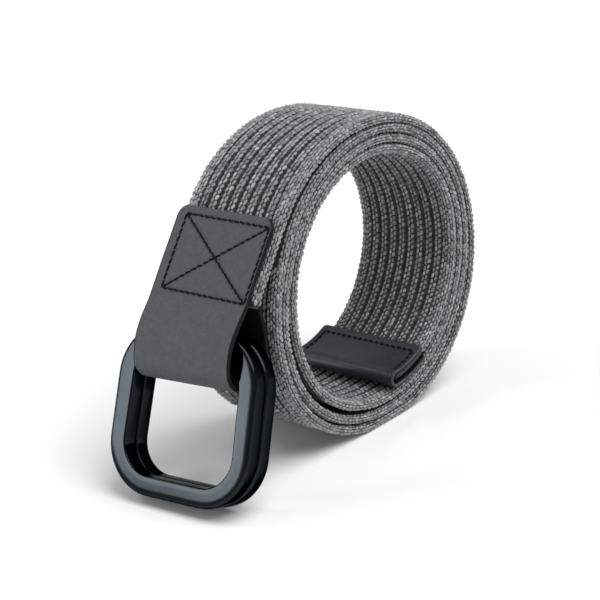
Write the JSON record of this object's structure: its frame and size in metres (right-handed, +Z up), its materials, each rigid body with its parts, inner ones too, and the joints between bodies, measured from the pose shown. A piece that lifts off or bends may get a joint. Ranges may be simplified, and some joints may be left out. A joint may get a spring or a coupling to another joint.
{
  "type": "webbing belt",
  "caption": "Rolled ribbed canvas webbing belt standing on its edge, with a sewn leather tab that loops over flat black rings and a leather-bound free end.",
  "frame": {"origin": "on the floor, under the middle of the belt's bounding box", "axes": "+Z up, +Y along the coil's axis, the rings are on the -X side"},
  "size_m": [0.1466, 0.0548, 0.1063],
  "materials": {
    "webbing": "grey melange ribbed knit, matte",
    "leather": "fine-grained dark blue-grey leather, soft sheen",
    "ring_metal": "polished black plating"
  },
  "bodies": {
    "belt": {"webbing": "webbing", "tab_leather": "leather", "tip_leather": "leather"},
    "front_ring": {"ring_front": "ring_metal"},
    "back_ring": {"ring_back": "ring_metal"}
  },
  "joints": [
    {"name": "front_ring_swing", "type": "hinge", "parent": "belt", "child": "front_ring", "pos_m": [-0.04941, 0.00161, 0.05162], "axis": [-0.1042, 0.9943, -0.0231], "range_deg": [0, 16]},
    {"name": "back_ring_swing", "type": "hinge", "parent": "belt", "child": "back_ring", "pos_m": [-0.0469, 0.00185, 0.05065], "axis": [-0.1042, 0.9943, -0.0231], "range_deg": [-18, 0]}
  ]
}
